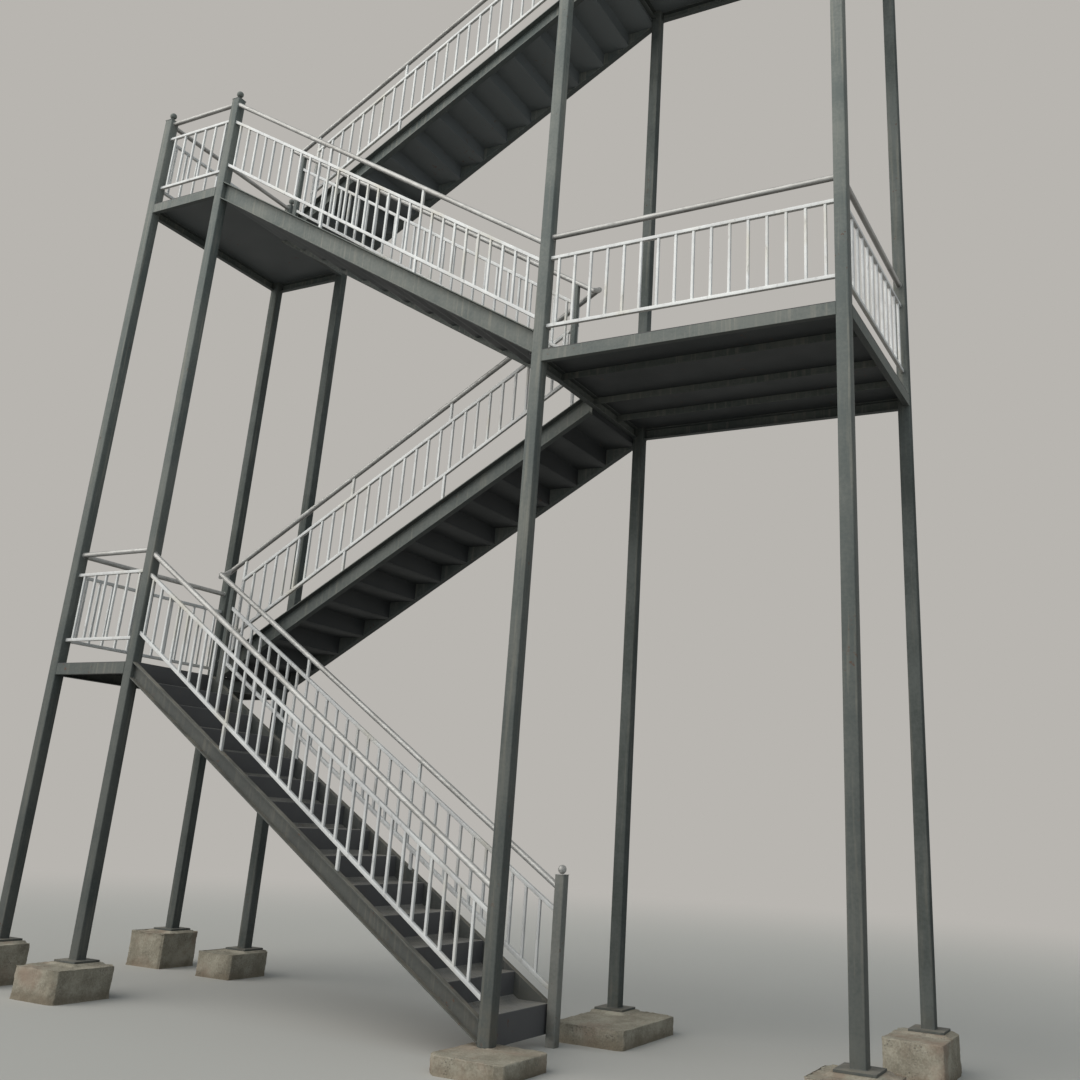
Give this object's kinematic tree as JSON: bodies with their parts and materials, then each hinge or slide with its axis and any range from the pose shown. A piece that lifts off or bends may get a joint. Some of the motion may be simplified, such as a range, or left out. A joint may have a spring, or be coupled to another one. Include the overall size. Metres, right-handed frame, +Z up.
{
  "type": "fire escape stair",
  "caption": "Free-standing steel fire escape stair: flights that double back between landings and platforms on square columns, with baluster railings and concrete plinths.",
  "frame": {"origin": "on the ground under the middle of the box round the whole stair", "axes": "+X along the wall to the right, +Y towards the wall, +Z up"},
  "size_m": [8.073, 2.55, 11.263],
  "materials": {
    "steel": "dull dark grey paint",
    "deck": "dark chequer plate, worn",
    "handrail": "satin grey",
    "panel": "silvery white paint",
    "concrete": "rough weathered concrete"
  },
  "bodies": {
    "root": {"front_column_1": "steel", "front_column_2": "steel", "front_column_3": "steel", "front_column_4": "steel", "back_column_1": "steel", "back_column_2": "steel", "back_column_3": "steel", "back_column_4": "steel", "base_plates": "steel", "post_caps": "steel", "newel_post": "steel", "inner_posts": "steel", "low_landing_frame": "steel", "right_platform_frame": "steel", "upper_landing_frame": "steel", "top_platform_frame": "steel", "flight_1_stringers": "steel", "flight_2_stringers": "steel", "flight_3_stringers": "steel", "flight_4_stringers": "steel", "low_landing_deck": "deck", "right_platform_deck": "deck", "upper_landing_deck": "deck", "top_platform_deck": "deck", "flight_1_steps": "deck", "flight_2_steps": "deck", "flight_3_steps": "deck", "flight_4_steps": "deck", "flight_1_handrails": "handrail", "flight_2_handrail": "handrail", "flight_3_handrails": "handrail", "flight_4_handrail": "handrail", "low_landing_handrails": "handrail", "right_platform_handrails": "handrail", "upper_landing_handrails": "handrail", "top_platform_handrails": "handrail", "flight_1_panels": "panel", "flight_2_panel": "panel", "flight_3_panels": "panel", "flight_4_panel": "panel", "low_landing_panels": "panel", "right_platform_panels": "panel", "upper_landing_panels": "panel", "top_platform_panels": "panel", "plinths": "concrete"}
  },
  "joints": []
}
